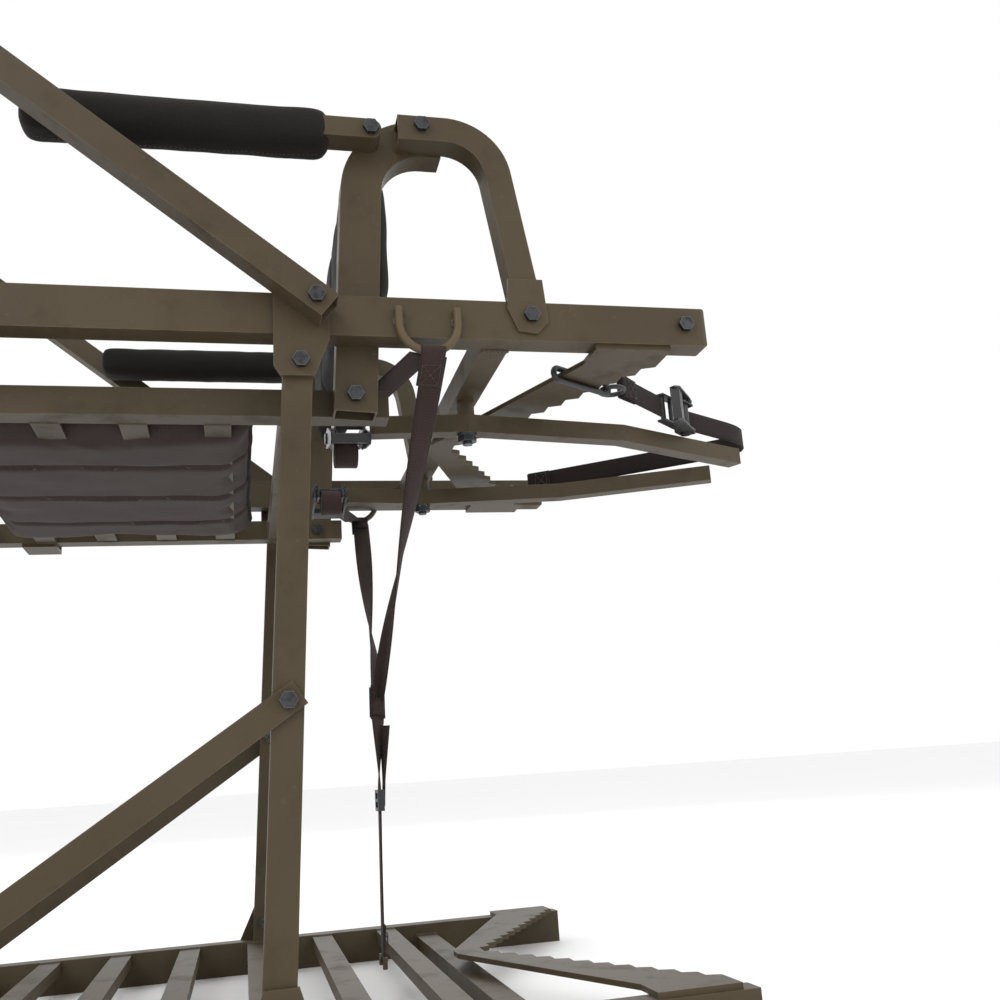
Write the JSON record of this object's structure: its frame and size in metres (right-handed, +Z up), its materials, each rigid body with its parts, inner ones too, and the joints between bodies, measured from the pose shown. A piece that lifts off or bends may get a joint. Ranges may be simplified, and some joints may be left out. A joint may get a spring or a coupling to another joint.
{
  "type": "climbing tree stand",
  "caption": "Tree stand section with side rails, toothed V-blade, swinging tree jaws, ratchet straps, flip-up seat, arm rests, shooting rail and foot platform.",
  "frame": {"origin": "on the ground under the foot platform, midway between the two sides", "axes": "+X towards the tree, +Z up, -Y is the left side of a hunter who faces away from the tree"},
  "size_m": [1.0668, 0.6974, 0.9788],
  "materials": {
    "frame_paint": "satin olive-tan powder coat",
    "dark_bolts": "dark zinc",
    "black_steel": "black satin",
    "bush_brass": "plain",
    "brown_webbing": "woven webbing",
    "seat_fabric": "woven, brown",
    "pad_fabric": "woven, near black",
    "foam_sleeve": "foam sleeve with fabric skin",
    "plug_plastic": "moulded, olive-tan"
  },
  "bodies": {
    "frame": {"back_bars": "frame_paint", "back_pad": "pad_fabric", "back_posts": "frame_paint", "braces": "frame_paint", "brackets": "frame_paint", "eye_loops": "frame_paint", "foot_brackets": "frame_paint", "frame_bolts": "dark_bolts", "front_cross_tube": "frame_paint", "gripper_blade": "frame_paint", "jaw_pivot_bolts": "dark_bolts", "jaw_pivot_nuts": "dark_bolts", "jaw_pivot_washers": "dark_bolts", "jaw_spacers": "frame_paint", "jaw_strap_left": "brown_webbing", "jaw_strap_right": "brown_webbing", "lock_nuts": "dark_bolts", "pivot_bolts": "dark_bolts", "platform_blade": "frame_paint", "platform_cross_tubes": "frame_paint", "platform_side_tubes": "frame_paint", "platform_slats": "frame_paint", "platform_struts": "frame_paint", "pull_strap_left": "brown_webbing", "pull_strap_right": "brown_webbing", "pull_strap_tail": "brown_webbing", "rail_plugs": "plug_plastic", "rear_cross_tube": "frame_paint", "rear_ratchet_frame": "black_steel", "rear_strap": "brown_webbing", "rear_strap_loop": "brown_webbing", "seat_stops": "frame_paint", "side_rails": "frame_paint", "strap_hooks": "black_steel", "tail_anchor": "frame_paint", "tail_buckle": "black_steel", "uprights": "frame_paint"},
    "jaw_left": {"jaw_arm_left": "frame_paint", "jaw_bush_left": "bush_brass", "jaw_ratchet_frame_left": "black_steel"},
    "jaw_right": {"jaw_arm_right": "frame_paint", "jaw_bush_right": "bush_brass", "jaw_ratchet_frame_right": "black_steel"},
    "jaw_spool_left": {"jaw_ratchet_spool_left": "black_steel"},
    "jaw_spool_right": {"jaw_ratchet_spool_right": "black_steel"},
    "jaw_handle_left": {"jaw_ratchet_handle_left": "black_steel"},
    "jaw_handle_right": {"jaw_ratchet_handle_right": "black_steel"},
    "rear_spool": {"rear_ratchet_spool": "black_steel"},
    "rear_handle": {"rear_ratchet_handle": "black_steel"},
    "seat": {"seat_side_tubes": "frame_paint", "seat_cross_tubes": "frame_paint", "seat_bars": "frame_paint", "seat_cushion": "seat_fabric"},
    "arm_rest_body_left": {"arm_rest_left": "frame_paint", "arm_pad_left": "pad_fabric"},
    "arm_rest_body_right": {"arm_rest_right": "frame_paint", "arm_pad_right": "pad_fabric"},
    "shooting_rail": {"shooting_arms": "frame_paint", "shooting_crossbar": "frame_paint", "shooting_pad": "foam_sleeve"}
  },
  "joints": [
    {"name": "jaw_pivot_left", "type": "hinge", "parent": "frame", "child": "jaw_left", "pos_m": [0.28, -0.148, 0.57495], "axis": [0, 0, 1], "range_deg": [-22, 0]},
    {"name": "jaw_pivot_right", "type": "hinge", "parent": "frame", "child": "jaw_right", "pos_m": [0.28, 0.148, 0.57495], "axis": [0, 0, 1], "range_deg": [0, 22]},
    {"name": "jaw_spool_turn_left", "type": "hinge", "parent": "jaw_left", "child": "jaw_spool_left", "pos_m": [0.158, -0.11, 0.57195], "axis": [1, 0, 0], "continuous": true},
    {"name": "jaw_spool_turn_right", "type": "hinge", "parent": "jaw_right", "child": "jaw_spool_right", "pos_m": [0.158, 0.11, 0.57195], "axis": [1, 0, 0], "continuous": true},
    {"name": "jaw_handle_swing_left", "type": "hinge", "parent": "jaw_left", "child": "jaw_handle_left", "pos_m": [0.158, -0.11, 0.57195], "axis": [1, 0, 0], "range_deg": [0, 120]},
    {"name": "jaw_handle_swing_right", "type": "hinge", "parent": "jaw_right", "child": "jaw_handle_right", "pos_m": [0.158, 0.11, 0.57195], "axis": [-1, 0, 0], "range_deg": [0, 120]},
    {"name": "rear_spool_turn", "type": "hinge", "parent": "frame", "child": "rear_spool", "pos_m": [0.55045, -0.09329, 0.60695], "axis": [0, 0, 1], "continuous": true},
    {"name": "rear_handle_swing", "type": "hinge", "parent": "frame", "child": "rear_handle", "pos_m": [0.55045, -0.09329, 0.60695], "axis": [0, 0, 1], "range_deg": [0, 120]},
    {"name": "seat_flip", "type": "hinge", "parent": "frame", "child": "seat", "pos_m": [0.15, 0, 0.556], "axis": [0, 1, 0], "range_deg": [0, 75]},
    {"name": "arm_rest_flip_left", "type": "hinge", "parent": "frame", "child": "arm_rest_body_left", "pos_m": [0.17, -0.3, 0.81], "axis": [0, 1, 0], "range_deg": [0, 100]},
    {"name": "arm_rest_flip_right", "type": "hinge", "parent": "frame", "child": "arm_rest_body_right", "pos_m": [0.17, 0.3, 0.81], "axis": [0, 1, 0], "range_deg": [0, 100]},
    {"name": "shooting_rail_tilt", "type": "hinge", "parent": "frame", "child": "shooting_rail", "pos_m": [0.114, 0, 0.624], "axis": [0, 1, 0], "range_deg": [-38, 50]}
  ]
}
